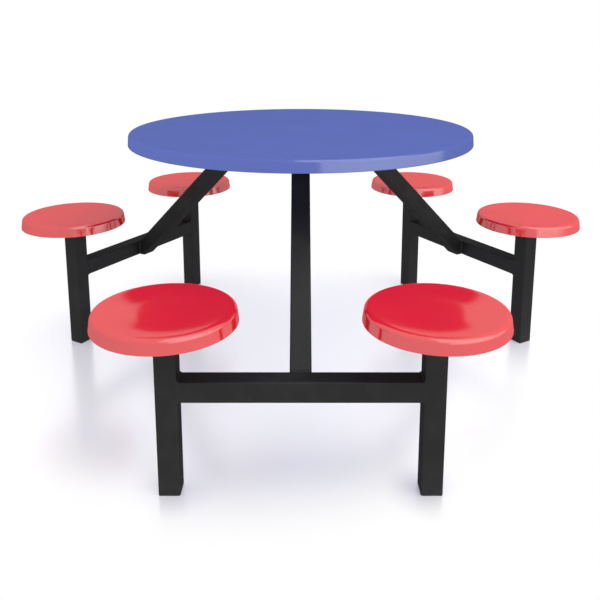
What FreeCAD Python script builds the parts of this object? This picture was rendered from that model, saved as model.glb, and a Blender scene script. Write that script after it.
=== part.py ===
import FreeCAD, Part
import math
import os
import re
import Sketcher
from FreeCAD import Placement, Rotation, Vector

# Round canteen table with six swivel seats on a welded frame of square tube.
# Three alike units stand a third of a turn apart round the table's axis. Each is two posts, a cross
# rail between them and a strut that leans in from the rail to the table top.
# The origin is on the floor in the middle of the whole footprint, X to the right, Y to the rear, Z up.

# Driving sizes in millimetres, and in degrees for the draft angles.
# A unit's own frame has X along its rail and -Y outwards.
SIZES = {
    # overall
    "top_diameter": 1054,
    "top_height": 750,
    "seat_diameter": 330,
    "seat_height": 449,
    "post_spacing": 604,
    "unit_reach": 699,
    "rail_top_height": 283.5,
    "strut_head_reach": 184,
    # square tube of the frame
    "tube_width": 50.8,
    "tube_wall": 2,
    "tube_corner": 4,
    "strut_heel_drop": 6,
    # moulded table top and its core
    "top_rim_depth": 31,
    "top_edge_radius": 9,
    "top_draft_angle": 4,
    "top_skin": 4,
    "top_lip_radius": 1.2,
    "core_thickness": 16,
    "core_setback": 14,
    # plate on each strut, and its bolts
    "top_plate_length": 160,
    "top_plate_width": 120,
    "top_plate_thickness": 5,
    "top_plate_corner": 10,
    "bolt_edge": 18,
    "bolt_diameter": 8,
    "bolt_clearance": 0.2,
    "bolt_head_width": 13,
    "bolt_head_height": 5.3,
    "washer_diameter": 18,
    "washer_thickness": 1.6,
    "bolt_grip": 11,
    "bolt_bore_spare": 1.5,
    # moulded seat and its board
    "seat_rim_depth": 33,
    "seat_edge_radius": 12,
    "seat_draft_angle": 8,
    "seat_skin": 3.5,
    "seat_lip_radius": 1,
    "dish_depth": 5.5,
    "dish_rise": 77,
    "dish_brow_radius": 20,
    "board_setback": 36,
    "board_thickness": 9,
    # swivel head
    "seat_plate_width": 124,
    "seat_plate_thickness": 4,
    "seat_plate_corner": 8,
    "seat_screw_edge": 14,
    "seat_screw_diameter": 6,
    "seat_screw_clearance": 0.2,
    "seat_screw_head": 12,
    "seat_screw_head_height": 3.6,
    "seat_screw_head_round": 2,
    "seat_screw_grip": 6,
    "seat_screw_tip": 1.2,
    "spindle_diameter": 25,
    "spindle_tail": 8,
    "spindle_chamfer": 2,
    "groove_width": 9,
    "groove_depth": 3,
    "cap_thickness": 4,
    "housing_wall": 4,
    "housing_length": 70,
    "bush_wall": 2.4,
    "bush_flange_width": 6,
    "bush_flange_thickness": 2.5,
    "upper_bush_length": 20,
    "lower_bush_length": 15,
    "bush_running_clearance": 0.05,
    "bush_seat_clearance": 0.05,
    "set_screw_diameter": 8,
    "set_screw_clearance": 0.2,
    "set_screw_socket": 4,
    "set_screw_socket_depth": 4,
    "dog_diameter": 6,
    "dog_length": 4,
    "dog_clearance": 0.4,
    # foot insert
    "foot_flange": 4,
    "foot_chamfer": 1,
    "foot_plug_height": 26,
    "foot_plug_wall": 2.5,
    "foot_plug_gap": 1.5,
    "foot_fin_height": 1.6,
    "foot_fin_pitch": 7,
    "foot_fin_clearance": 0.15,
    # how far a cut runs past what it cuts
    "overrun": 5,
}

FOOT_FIN_COUNT = 3
SEAT_SCREW_COUNT = 4

# The units by name, in turns of a third, with the seats at the two ends of each rail.
UNITS = (
    ("front", ("front_left", "front_right")),
    ("right", ("right_front", "right_rear")),
    ("left", ("left_rear", "left_front")),
)
SIGNS = (-1, 1)

# Sizes that follow from the driving ones, as formulas.
TUBE_BORE = "(tube_width - 2 * tube_wall)"
BORE_CORNER = "(tube_corner - tube_wall)"
POST_TOP = (
    "(seat_height - dish_depth - seat_skin - board_thickness - seat_plate_thickness"
    " - bush_flange_thickness - cap_thickness)"
)
SEAT_PLATE_BASE = "(cap_thickness + bush_flange_thickness)"
BOARD_BASE = f"({POST_TOP} + {SEAT_PLATE_BASE} + seat_plate_thickness)"
SEAT_SCREW_PLACE = "(seat_plate_width / 2 - seat_screw_edge)"
BUSH_BORE = "(spindle_diameter / 2 + bush_running_clearance)"
BUSH_OUTER = f"({BUSH_BORE} + bush_wall)"
HOUSING_BORE = f"({BUSH_OUTER} + bush_seat_clearance)"
HOUSING_OUTER = f"({HOUSING_BORE} + housing_wall)"
GROOVE_MIDDLE = "((cap_thickness - upper_bush_length - housing_length + lower_bush_length) / 2)"
SET_SCREW_HOLE = "(set_screw_diameter / 2 + set_screw_clearance)"
CORE_BASE = "(top_height - top_skin - core_thickness)"
TOP_PLATE_BASE = f"({CORE_BASE} - top_plate_thickness)"
BOLT_HOLE = "(bolt_diameter / 2 + bolt_clearance)"
# A strut's upper face starts at the rail's inner top edge, and the middle of its upper end lies at the
# head's reach, so its lean is that of the line between those points and a little more for half a tube.
STRUT_RISE = f"({TOP_PLATE_BASE} - rail_top_height)"
STRUT_SPAN = "(unit_reach - tube_width / 2 - strut_head_reach)"
STRUT_LINE = f"sqrt({STRUT_SPAN} ^ 2 + {STRUT_RISE} ^ 2)"
LEAN = f"(atan({STRUT_RISE} / {STRUT_SPAN}) + asin(tube_width / 2 / {STRUT_LINE}))"
LEAN_SIN = f"sin({LEAN})"
LEAN_COS = f"cos({LEAN})"
STRUT_RUN = f"({STRUT_RISE} * {LEAN_COS} / {LEAN_SIN})"
# The front seats reach further from the table's axis than the rear ones, so the axis stands
# behind the middle of the footprint.
AXIS_SHIFT = "((unit_reach - post_spacing * sin(60 deg)) / 4)"

doc = FreeCAD.newDocument("CanteenTable")
sheet = doc.addObject("Spreadsheet::Sheet", "Sizes")
for row, (name, size) in enumerate(SIZES.items(), start=1):
    sheet.set(f"A{row}", name)
    sheet.set(f"B{row}", str(size))
    sheet.setAlias(f"B{row}", name)
doc.recompute()
nodes = []


# Formulas

def full(formula):
    """Spells a formula's size names as cells of the sheet."""
    return re.sub(r"\b[a-z]\w*", lambda word: f"Sizes.{word[0]}" if word[0] in SIZES else word[0], formula)


def value(formula):
    """The number that a formula has now."""
    result = sheet.evalExpression(full(formula))
    return float(getattr(result, "Value", result))


# Sketches

def new_sketch(body, name, plane="XY_Plane", **shift):
    """A sketch on one of the body's origin planes, shifted along the plane's own x, y or z."""
    sketch = body.newObject("Sketcher::SketchObject", f"{body.Name}_{name}")
    support = next(item for item in body.Origin.OriginFeatures if item.Role == plane)
    sketch.AttachmentSupport = [(support, "")]
    sketch.MapMode = "FlatFace"
    for axis, formula in shift.items():
        sketch.setExpression(f"AttachmentOffset.Base.{axis}", full(formula))
    return sketch


def drive(sketch, kind, places, formula):
    """Adds a constraint whose size follows a formula."""
    index = sketch.addConstraint(Sketcher.Constraint(kind, *places, value(formula)))
    sketch.setExpression(f"Constraints[{index}]", full(formula))


def pin(sketch, edge, point, x, y):
    """Holds a point of the sketch at x and y. A plain 0 holds it on the axis."""
    for kind, formula, axis in (("DistanceX", x, -2), ("DistanceY", y, -1)):
        if formula == "0":
            sketch.addConstraint(Sketcher.Constraint("PointOnObject", edge, point, axis))
        else:
            drive(sketch, kind, (edge, point), formula)


def round_edge(here, there, radius, side):
    """The arc from one point to the next, with its centre on the left (1) or the right (-1)."""
    chord = there - here
    left = Vector(-chord.y, chord.x, 0).normalize()
    rise = math.sqrt(max(radius ** 2 - chord.Length ** 2 / 4, 0))
    centre = (here + there) / 2 + left * rise * side
    first, last = (here, there) if side > 0 else (there, here)
    angles = [math.atan2(end.y - centre.y, end.x - centre.x) for end in (first, last)]
    return Part.ArcOfCircle(Part.Circle(centre, Vector(0, 0, 1), radius), *angles)


def outline(sketch, corners):
    """A closed outline. A corner is (x, y), or (x, y, radius, side) where an arc leaves it."""
    points = [Vector(value(corner[0]), value(corner[1]), 0) for corner in corners]
    edges = []
    for corner, here, there in zip(corners, points, points[1:] + points[:1]):
        if len(corner) == 2:
            edge = sketch.addGeometry(Part.LineSegment(here, there))
            edges.append((edge, 1, 2))
        else:
            edge = sketch.addGeometry(round_edge(here, there, value(corner[2]), corner[3]))
            edges.append((edge, 1, 2) if corner[3] > 0 else (edge, 2, 1))
    for (edge, _, end), (following, start, _) in zip(edges, edges[1:] + edges[:1]):
        sketch.addConstraint(Sketcher.Constraint("Coincident", edge, end, following, start))
    for corner, (edge, start, _) in zip(corners, edges):
        pin(sketch, edge, start, corner[0], corner[1])
        if len(corner) > 2:
            drive(sketch, "Radius", (edge,), corner[2])


def circle(sketch, x, y, radius):
    edge = sketch.addGeometry(Part.Circle(Vector(value(x), value(y), 0), Vector(0, 0, 1), value(radius)))
    pin(sketch, edge, 3, x, y)
    drive(sketch, "Radius", (edge,), radius)


def rounded_rectangle(sketch, width, depth, corner, x="0", y="0"):
    """A rectangle about (x, y) with round corners."""
    west, east = f"{x} - {width} / 2", f"{x} + {width} / 2"
    south, north = f"{y} - {depth} / 2", f"{y} + {depth} / 2"
    outline(sketch, [
        (f"{west} + {corner}", south),
        (f"{east} - {corner}", south, corner, 1),
        (east, f"{south} + {corner}"),
        (east, f"{north} - {corner}", corner, 1),
        (f"{east} - {corner}", north),
        (f"{west} + {corner}", north, corner, 1),
        (west, f"{north} - {corner}"),
        (west, f"{south} + {corner}", corner, 1),
    ])


def hexagon(sketch, x, y, width):
    """A hexagon of the given width over its flats, turned so that no corner lies on an axis."""
    turns = [60 * step + 15 for step in range(6)]
    outline(sketch, [
        (f"{x} + {width} / sqrt(3) * cos({turn} deg)", f"{y} + {width} / sqrt(3) * sin({turn} deg)")
        for turn in turns
    ])


def tube_section(sketch, y="0"):
    rounded_rectangle(sketch, "tube_width", "tube_width", "tube_corner", y=y)
    rounded_rectangle(sketch, TUBE_BORE, TUBE_BORE, BORE_CORNER, y=y)


# Features

def new_body(label):
    body = doc.addObject("PartDesign::Body", label)
    body.Label = label
    body.AllowCompound = True
    return body


def pad(body, sketch, length, sides="One side", reverse=False, back=None):
    """Extends a sketch along its normal, and by another length behind it where back is given."""
    feature = body.newObject("PartDesign::Pad", f"{sketch.Name}_pad")
    feature.Profile = sketch
    feature.SideType = sides
    feature.Reversed = reverse
    feature.setExpression("Length", full(length))
    if back:
        feature.setExpression("Length2", full(back))
    return feature


def pocket(body, sketch, length, sides="One side", reverse=False):
    """Cuts a sketch out of the body, against its normal or along it, and sees that something went."""
    doc.recompute()
    before = body.Shape.Volume
    feature = body.newObject("PartDesign::Pocket", f"{sketch.Name}_pocket")
    feature.Profile = sketch
    feature.SideType = sides
    feature.Reversed = reverse
    feature.setExpression("Length", full(length))
    doc.recompute()
    if not body.Shape.Volume < before:
        raise RuntimeError(f"{feature.Name} cuts nothing")
    return feature


def revolve(body, sketch, axis="V_Axis"):
    feature = body.newObject("PartDesign::Revolution", f"{sketch.Name}_revolution")
    feature.Profile = sketch
    feature.ReferenceAxis = (sketch, [axis])
    feature.Angle = 360
    return feature


def turn_about_axis(body, feature, count):
    """Repeats a feature evenly round the body's Z axis."""
    pattern = body.newObject("PartDesign::PolarPattern", f"{feature.Name}_round")
    pattern.Originals = [feature]
    pattern.Axis = (next(item for item in body.Origin.OriginFeatures if item.Role == "Z_Axis"), [""])
    pattern.Angle = 360
    pattern.Occurrences = count
    body.Tip = pattern
    return pattern


def place(item, unit, along="0", out="0", height="0"):
    """Puts an item into its unit: along the rail, out from the table's axis, and up."""
    turn = 360 * unit / len(UNITS)
    item.Placement = Placement(Vector(), Rotation(Vector(0, 0, 1), turn))
    cos, sin = f"cos({turn} deg)", f"sin({turn} deg)"
    item.setExpression("Placement.Base.x", full(f"{cos} * ({along}) + {sin} * ({out})"))
    item.setExpression("Placement.Base.y", full(f"{sin} * ({along}) - {cos} * ({out}) + {AXIS_SHIFT}"))
    item.setExpression("Placement.Base.z", full(height))


def keep(item):
    nodes.append(item)


def keep_group(label, items):
    group = doc.addObject("Part::Compound", label)
    group.Label = label
    group.Links = items
    nodes.append(group)


# Welded frame

def make_post(label):
    """Square tube from the foot's flange to the swivel head, with the set screw's hole on its inner side."""
    body = new_body(label)
    section = new_sketch(body, "section", z="foot_flange")
    tube_section(section)
    pad(body, section, f"{POST_TOP} - foot_flange")
    hole = new_sketch(body, "screw_hole", "XZ_Plane")
    circle(hole, "0", f"{POST_TOP} + {GROOVE_MIDDLE}", SET_SCREW_HOLE)
    pocket(body, hole, "tube_width / 2 + overrun")
    return body


def make_rail(label):
    body = new_body(label)
    section = new_sketch(body, "section", "YZ_Plane")
    tube_section(section)
    pad(body, section, "post_spacing - tube_width", sides="Symmetric")
    return body


def make_strut(label):
    """Leaning tube. Its own origin is the rail's inner top edge, which its upper face runs into.

    The lower end is mitred to the rail's inner face and its heel is cut level and closed; the upper
    end is mitred to the table plate.
    """
    body = new_body(label)
    section = new_sketch(body, "section")
    section.AttachmentOffset = Placement(Vector(), Rotation(Vector(-1, 0, 0), value(f"90 deg - {LEAN}")))
    section.setExpression("AttachmentOffset.Rotation.Angle", full(f"90 deg - {LEAN}"))
    tube_section(section, y="tube_width / 2")
    upper = f"({STRUT_RISE} + tube_width * {LEAN_COS}) / {LEAN_SIN} + overrun"
    lower = f"tube_width * {LEAN_SIN} / {LEAN_COS} + overrun"
    pad(body, section, upper, sides="Two sides", back=lower)

    heel = "(tube_width + strut_heel_drop)"
    foot_cut = new_sketch(body, "foot_cut", "YZ_Plane")
    outline(foot_cut, [
        ("0", "overrun"),
        ("-3 * tube_width", "overrun"),
        ("-3 * tube_width", "-3 * tube_width"),
        ("3 * tube_width", "-3 * tube_width"),
        ("3 * tube_width", f"-{heel}"),
        ("0", f"-{heel}"),
    ])
    pocket(body, foot_cut, "2 * tube_width", sides="Symmetric")

    head_cut = new_sketch(body, "head_cut", "YZ_Plane")
    outline(head_cut, [
        (f"{STRUT_RUN} - 2 * tube_width", STRUT_RISE),
        (f"{STRUT_RUN} + 4 * tube_width", STRUT_RISE),
        (f"{STRUT_RUN} + 4 * tube_width", f"{STRUT_RISE} + 3 * tube_width"),
        (f"{STRUT_RUN} - 2 * tube_width", f"{STRUT_RISE} + 3 * tube_width"),
    ])
    pocket(body, head_cut, "2 * tube_width", sides="Symmetric")

    # a strip as thick as the wall closes the heel, up to the middle of the walls round it
    wall_middle = "(tube_width - tube_wall / 2)"
    strip = new_sketch(body, "heel_strip", "YZ_Plane")
    outline(strip, [
        ("0", f"-{heel}"),
        (f"({wall_middle} - {heel} * {LEAN_COS}) / {LEAN_SIN}", f"-{heel}"),
        (f"({wall_middle} - ({heel} - tube_wall) * {LEAN_COS}) / {LEAN_SIN}", f"tube_wall - {heel}"),
        ("0", f"tube_wall - {heel}"),
    ])
    pad(body, strip, "tube_width - tube_wall", sides="Symmetric")
    return body


def bolt_places():
    """The four bolts of a top plate, from the plate's middle."""
    across, lengthwise = "(top_plate_width / 2 - bolt_edge)", "(top_plate_length / 2 - bolt_edge)"
    return [(f"{x} * {across}", f"{y} * {lengthwise}") for x in SIGNS for y in SIGNS]


def make_top_plate(label):
    body = new_body(label)
    sketch = new_sketch(body, "plate")
    rounded_rectangle(sketch, "top_plate_width", "top_plate_length", "top_plate_corner")
    for x, y in bolt_places():
        circle(sketch, x, y, BOLT_HOLE)
    pad(body, sketch, "top_plate_thickness")
    return body


def make_top_bolts(label):
    """Four hexagon bolts with washers. Their own origin is the plate's lower face."""
    body = new_body(label)
    heads = new_sketch(body, "heads", z="-washer_thickness")
    washers = new_sketch(body, "washers")
    shanks = new_sketch(body, "shanks")
    for x, y in bolt_places():
        hexagon(heads, x, y, "bolt_head_width")
        circle(washers, x, y, "washer_diameter / 2")
        circle(shanks, x, y, "bolt_diameter / 2")
    pad(body, heads, "bolt_head_height", reverse=True)
    pad(body, washers, "washer_thickness", reverse=True)
    pad(body, shanks, "top_plate_thickness + bolt_grip")
    return body


def make_foot_insert(label):
    """Plug with a flange under the tube, a hollow body and three rows of fins."""
    body = new_body(label)
    flange = new_sketch(body, "flange", z="foot_chamfer")
    rounded_rectangle(flange, "tube_width", "tube_width", "tube_corner")
    pad(body, flange, "foot_flange - foot_chamfer")
    tread_width = "(tube_width - 2 * foot_chamfer)"
    tread = new_sketch(body, "tread")
    rounded_rectangle(tread, tread_width, tread_width, "(tube_corner - foot_chamfer)")
    pad(body, tread, "foot_chamfer")
    outer = f"({TUBE_BORE} - 2 * foot_plug_gap)"
    inner = f"({outer} - 2 * foot_plug_wall)"
    plug = new_sketch(body, "plug", z="foot_flange")
    rounded_rectangle(plug, outer, outer, BORE_CORNER)
    rounded_rectangle(plug, inner, inner, f"({BORE_CORNER} / 2)")
    pad(body, plug, "foot_plug_height")
    ring = f"({TUBE_BORE} - 2 * foot_fin_clearance)"
    fin = new_sketch(body, "fin", z="foot_flange + foot_fin_pitch - foot_fin_height")
    rounded_rectangle(fin, ring, ring, BORE_CORNER)
    rounded_rectangle(fin, inner, inner, f"({BORE_CORNER} / 2)")
    first = pad(body, fin, "foot_fin_height")
    fins = body.newObject("PartDesign::LinearPattern", f"{label}_fins")
    fins.Originals = [first]
    fins.Direction = (fin, ["N_Axis"])
    fins.Occurrences = FOOT_FIN_COUNT
    fins.setExpression("Length", full(f"foot_fin_pitch * {FOOT_FIN_COUNT - 1}"))
    body.Tip = fins
    return body


# Moulded top and seats

TOP_FORM = ("top_diameter", "top_rim_depth", "top_edge_radius", "top_draft_angle")
SEAT_FORM = ("seat_diameter", "seat_rim_depth", "seat_edge_radius", "seat_draft_angle")


def crest_radius(diameter, depth, edge, draft):
    """Where a moulded skin's round edge starts: inside the widest radius by the edge and the flared rim."""
    cos, sin = f"cos({draft} * 1 deg)", f"sin({draft} * 1 deg)"
    return f"({diameter} / 2 - {edge} * {cos} - ({depth} - {edge} * (1 - {sin})) * {sin} / {cos})"


def shell_outline(sketch, diameter, depth, edge, draft, skin, dish=None):
    """Half section of a moulded skin with a round edge and a rim that flares downwards.

    z is 0 at the crest. A dish is (depth, rise, brow): its floor, how wide its side is and how that rounds
    over into the crest.
    """
    cos, sin = f"cos({draft} * 1 deg)", f"sin({draft} * 1 deg)"
    crest = crest_radius(diameter, depth, edge, draft)
    inner_edge = f"({edge} - {skin})"
    edge_side = [
        (crest, "0", edge, -1),
        (f"{crest} + {edge} * {cos}", f"-{edge} + {edge} * {sin}"),
        (f"{diameter} / 2", f"-{depth}"),
        (f"{diameter} / 2 - {skin} / {cos}", f"-{depth}"),
        (f"{crest} + {inner_edge} * {cos}", f"-{edge} + {inner_edge} * {sin}", inner_edge, 1),
    ]
    if dish is None:
        outline(sketch, [("0", "0"), *edge_side, (crest, f"-{skin}"), ("0", f"-{skin}")])
        return
    # a wide hollow arc, level at the floor, runs into a tight round one, level at the crest
    floor, rise, brow = dish
    both = f"(({rise} ^ 2 + {floor} ^ 2) / (2 * {floor}))"
    hollow = f"({both} - {brow})"
    lean_sin, lean_cos = f"({rise} / {both})", f"(1 - {floor} / {both})"
    flat = f"({crest} - {rise})"
    meet, meet_z = f"({crest} - {brow} * {lean_sin})", f"-{brow} * {floor} / {both}"
    outline(sketch, [
        ("0", f"-{floor}"),
        (flat, f"-{floor}", hollow, 1),
        (meet, meet_z, brow, -1),
        *edge_side,
        (crest, f"-{skin}", f"({brow} - {skin})", 1),
        (f"{meet} + {skin} * {lean_sin}", f"{meet_z} - {skin} * {lean_cos}", f"({hollow} + {skin})", -1),
        (flat, f"-{floor} - {skin}"),
        ("0", f"-{floor} - {skin}"),
    ])


def soften_lip(body, radius):
    """Rounds both edges of a skin's lower lip."""
    doc.recompute()
    base = body.Tip
    lowest = base.Shape.BoundBox.ZMin
    edges = [
        f"Edge{index}" for index, edge in enumerate(base.Shape.Edges, start=1)
        if edge.BoundBox.ZMax < lowest + value(radius)
    ]
    feature = body.newObject("PartDesign::Fillet", f"{body.Name}_lip")
    feature.Base = (base, edges)
    feature.setExpression("Radius", full(radius))


def make_table_shell(label):
    body = new_body(label)
    sketch = new_sketch(body, "profile", "XZ_Plane")
    shell_outline(sketch, *TOP_FORM, "top_skin")
    revolve(body, sketch)
    soften_lip(body, "top_lip_radius")
    return body


def make_table_core(label):
    """Board under the skin, bored from below for the bolts of the three plates."""
    body = new_body(label)
    disc = new_sketch(body, "disc")
    circle(disc, "0", "0", "top_diameter / 2 - top_skin - core_setback")
    pad(body, disc, "core_thickness")
    bores = new_sketch(body, "bores")
    for x, y in bolt_places():
        circle(bores, x, f"{y} - strut_head_reach", BOLT_HOLE)
    first = pocket(body, bores, "bolt_grip + bolt_bore_spare", reverse=True)
    turn_about_axis(body, first, len(UNITS))
    return body


def make_seat_shell(label):
    body = new_body(label)
    sketch = new_sketch(body, "profile", "XZ_Plane")
    shell_outline(sketch, *SEAT_FORM, "seat_skin", dish=("dish_depth", "dish_rise", "dish_brow_radius"))
    revolve(body, sketch)
    soften_lip(body, "seat_lip_radius")
    return body


def seat_screw_places():
    return [(f"{x} * {SEAT_SCREW_PLACE}", f"{y} * {SEAT_SCREW_PLACE}") for x in SIGNS for y in SIGNS]


def make_seat_board(label):
    body = new_body(label)
    disc = new_sketch(body, "disc")
    circle(disc, "0", "0", f"{crest_radius(*SEAT_FORM)} - board_setback")
    pad(body, disc, "board_thickness")
    bores = new_sketch(body, "bores")
    for x, y in seat_screw_places():
        circle(bores, x, y, "seat_screw_diameter / 2 + seat_screw_clearance")
    pocket(body, bores, "seat_screw_grip + seat_screw_clearance", reverse=True)
    return body


# Swivel head, with its own origin on the post's axis at the upper end of the tube

def make_housing(label):
    """Cap plate on the post with a sleeve under it, tapped for the set screw."""
    body = new_body(label)
    cap = new_sketch(body, "cap")
    rounded_rectangle(cap, "tube_width", "tube_width", "tube_corner")
    circle(cap, "0", "0", HOUSING_BORE)
    pad(body, cap, "cap_thickness")
    sleeve = new_sketch(body, "sleeve")
    circle(sleeve, "0", "0", HOUSING_OUTER)
    circle(sleeve, "0", "0", HOUSING_BORE)
    pad(body, sleeve, "housing_length", reverse=True)
    hole = new_sketch(body, "screw_hole", "XZ_Plane")
    circle(hole, "0", GROOVE_MIDDLE, SET_SCREW_HOLE)
    pocket(body, hole, f"{HOUSING_OUTER} + overrun")
    return body


def make_bushes(label):
    """An upper and a lower flanged bush. The upper flange carries the seat's plate."""
    body = new_body(label)
    sketch = new_sketch(body, "profiles", "XZ_Plane")
    outline(sketch, [
        (BUSH_BORE, "cap_thickness - upper_bush_length"),
        (BUSH_OUTER, "cap_thickness - upper_bush_length"),
        (BUSH_OUTER, "cap_thickness"),
        (f"{BUSH_OUTER} + bush_flange_width", "cap_thickness"),
        (f"{BUSH_OUTER} + bush_flange_width", SEAT_PLATE_BASE),
        (BUSH_BORE, SEAT_PLATE_BASE),
    ])
    outline(sketch, [
        (BUSH_BORE, "-housing_length - bush_flange_thickness"),
        (HOUSING_OUTER, "-housing_length - bush_flange_thickness"),
        (HOUSING_OUTER, "-housing_length"),
        (BUSH_OUTER, "-housing_length"),
        (BUSH_OUTER, "lower_bush_length - housing_length"),
        (BUSH_BORE, "lower_bush_length - housing_length"),
    ])
    revolve(body, sketch)
    return body


def make_spindle(label):
    """Seat plate with a welded spindle, grooved for the set screw's point."""
    body = new_body(label)
    plate = new_sketch(body, "plate", z=SEAT_PLATE_BASE)
    rounded_rectangle(plate, "seat_plate_width", "seat_plate_width", "seat_plate_corner")
    for x, y in seat_screw_places():
        circle(plate, x, y, "seat_screw_diameter / 2 + seat_screw_clearance")
    pad(body, plate, "seat_plate_thickness")
    radius = "spindle_diameter / 2"
    tail = "-housing_length - bush_flange_thickness - spindle_tail"
    profile = new_sketch(body, "profile", "XZ_Plane")
    outline(profile, [
        ("0", SEAT_PLATE_BASE),
        ("0", tail),
        (f"{radius} - spindle_chamfer", tail),
        (radius, f"{tail} + spindle_chamfer"),
        (radius, f"{GROOVE_MIDDLE} - groove_width / 2"),
        (f"{radius} - groove_depth", f"{GROOVE_MIDDLE} - groove_width / 2"),
        (f"{radius} - groove_depth", f"{GROOVE_MIDDLE} + groove_width / 2"),
        (radius, f"{GROOVE_MIDDLE} + groove_width / 2"),
        (radius, SEAT_PLATE_BASE),
    ])
    revolve(body, profile)
    return body


def make_seat_screws(label):
    """Four pan-headed screws up through the plate. Their own origin is the plate's lower face."""
    body = new_body(label)
    profile = new_sketch(body, "profile", "XZ_Plane", x=SEAT_SCREW_PLACE, z=SEAT_SCREW_PLACE)
    head, shank = "seat_screw_head / 2", "seat_screw_diameter / 2"
    top = "seat_plate_thickness + seat_screw_grip"
    outline(profile, [
        ("0", "-seat_screw_head_height"),
        (f"{head} - seat_screw_head_round", "-seat_screw_head_height", "seat_screw_head_round", 1),
        (head, "seat_screw_head_round - seat_screw_head_height"),
        (head, "0"),
        (shank, "0"),
        (shank, f"{top} - seat_screw_tip"),
        (f"{shank} - seat_screw_tip", top),
        ("0", top),
    ])
    turn_about_axis(body, revolve(body, profile), SEAT_SCREW_COUNT)
    return body


def make_set_screw(label):
    """Dog-pointed socket screw through the post's inner wall and the sleeve into the spindle's groove."""
    body = new_body(label)
    tip = "(spindle_diameter / 2 - groove_depth + dog_clearance)"
    profile = new_sketch(body, "profile", "YZ_Plane", y=GROOVE_MIDDLE)
    outline(profile, [
        (tip, "0"),
        ("tube_width / 2", "0"),
        ("tube_width / 2", "set_screw_diameter / 2"),
        (f"{tip} + dog_length", "set_screw_diameter / 2"),
        (f"{tip} + dog_length", "dog_diameter / 2"),
        (tip, "dog_diameter / 2"),
    ])
    revolve(body, profile, axis="H_Axis")
    socket = new_sketch(body, "socket", "XZ_Plane", z="-tube_width / 2")
    hexagon(socket, "0", GROOVE_MIDDLE, "set_screw_socket")
    pocket(body, socket, "set_screw_socket_depth", reverse=True)
    return body


# Assembly

set_screws = []
top_bolts = []
for unit, (unit_name, seat_names) in enumerate(UNITS):
    rail = make_rail(f"{unit_name}_cross_rail")
    place(rail, unit, out="unit_reach", height="rail_top_height - tube_width / 2")
    keep(rail)
    strut = make_strut(f"{unit_name}_strut")
    place(strut, unit, out="unit_reach - tube_width / 2", height="rail_top_height")
    keep(strut)
    top_plate = make_top_plate(f"{unit_name}_top_plate")
    place(top_plate, unit, out="strut_head_reach", height=TOP_PLATE_BASE)
    keep(top_plate)
    bolts = make_top_bolts(f"{unit_name}_top_bolts")
    place(bolts, unit, out="strut_head_reach", height=TOP_PLATE_BASE)
    top_bolts.append(bolts)

    feet = []
    for side, seat_name in zip(SIGNS, seat_names):
        spot = {"along": f"{side} * post_spacing / 2", "out": "unit_reach"}
        foot = make_foot_insert(f"{seat_name}_foot_insert")
        place(foot, unit, **spot)
        feet.append(foot)
        set_screw = make_set_screw(f"{seat_name}_set_screw")
        place(set_screw, unit, height=POST_TOP, **spot)
        set_screws.append(set_screw)
        for make, piece, height in (
            (make_post, "post", "0"),
            (make_housing, "swivel_housing", POST_TOP),
            (make_bushes, "swivel_bushes", POST_TOP),
            (make_spindle, "seat_spindle", POST_TOP),
            (make_seat_screws, "seat_screws", f"{POST_TOP} + {SEAT_PLATE_BASE}"),
            (make_seat_board, "seat_board", BOARD_BASE),
            (make_seat_shell, "seat_shell", "seat_height"),
        ):
            item = make(f"{seat_name}_{piece}")
            place(item, unit, height=height, **spot)
            keep(item)
    keep_group(f"{unit_name}_foot_inserts", feet)

keep_group("seat_set_screws", set_screws)
keep_group("top_plate_bolts", top_bolts)
core = make_table_core("table_top_core")
place(core, 0, height=CORE_BASE)
keep(core)
shell = make_table_shell("table_top_shell")
place(shell, 0, height="top_height")
keep(shell)
doc.recompute()

for item in doc.Objects:
    if "Invalid" in item.State or "Error" in item.State:
        raise RuntimeError(f"{item.Name} failed: {item.State}")
for node in nodes:
    if node.Shape.isNull() or not node.Shape.isValid() or not node.Shape.Solids:
        raise RuntimeError(f"{node.Label} has no valid solid")

os.makedirs("parts", exist_ok=True)
for node in nodes:
    node.Shape.exportStep(f"parts/{node.Label}.step")
print(len(nodes), "nodes,", sum(len(node.Shape.Solids) for node in nodes), "solids")
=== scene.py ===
import bmesh
import bpy
import math
import numpy as np
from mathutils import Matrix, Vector


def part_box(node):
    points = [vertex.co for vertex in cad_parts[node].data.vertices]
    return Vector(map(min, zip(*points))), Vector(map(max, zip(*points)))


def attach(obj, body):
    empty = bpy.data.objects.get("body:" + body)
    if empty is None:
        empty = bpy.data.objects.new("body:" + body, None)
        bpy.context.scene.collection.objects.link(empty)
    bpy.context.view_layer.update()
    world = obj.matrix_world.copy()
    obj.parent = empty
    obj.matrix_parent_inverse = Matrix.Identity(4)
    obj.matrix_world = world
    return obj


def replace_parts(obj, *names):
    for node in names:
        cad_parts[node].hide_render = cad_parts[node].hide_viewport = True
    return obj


# Round canteen table with six swivel seats, in metres and in the frame's own axes.
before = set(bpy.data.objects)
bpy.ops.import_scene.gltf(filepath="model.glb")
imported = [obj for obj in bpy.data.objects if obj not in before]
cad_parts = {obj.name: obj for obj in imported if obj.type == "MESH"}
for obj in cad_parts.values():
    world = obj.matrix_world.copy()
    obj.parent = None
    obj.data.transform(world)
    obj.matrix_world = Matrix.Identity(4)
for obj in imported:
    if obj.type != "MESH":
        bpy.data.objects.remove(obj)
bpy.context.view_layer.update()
scene = bpy.context.scene


# Places that the frame gives

def lowHigh(node):
    return [np.array(corner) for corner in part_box(node)]


def middle(node):
    return np.mean(lowHigh(node), axis=0)


unitSeats = {
    "front": ("front_left", "front_right"),
    "right": ("right_front", "right_rear"),
    "left": ("left_rear", "left_front"),
}
seatNames = [name for pair in unitSeats.values() for name in pair]
postSpot = {name: middle(f"{name}_post")[:2] for name in seatNames}
tableAxis = np.mean(list(postSpot.values()), axis=0)


# Camera

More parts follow.
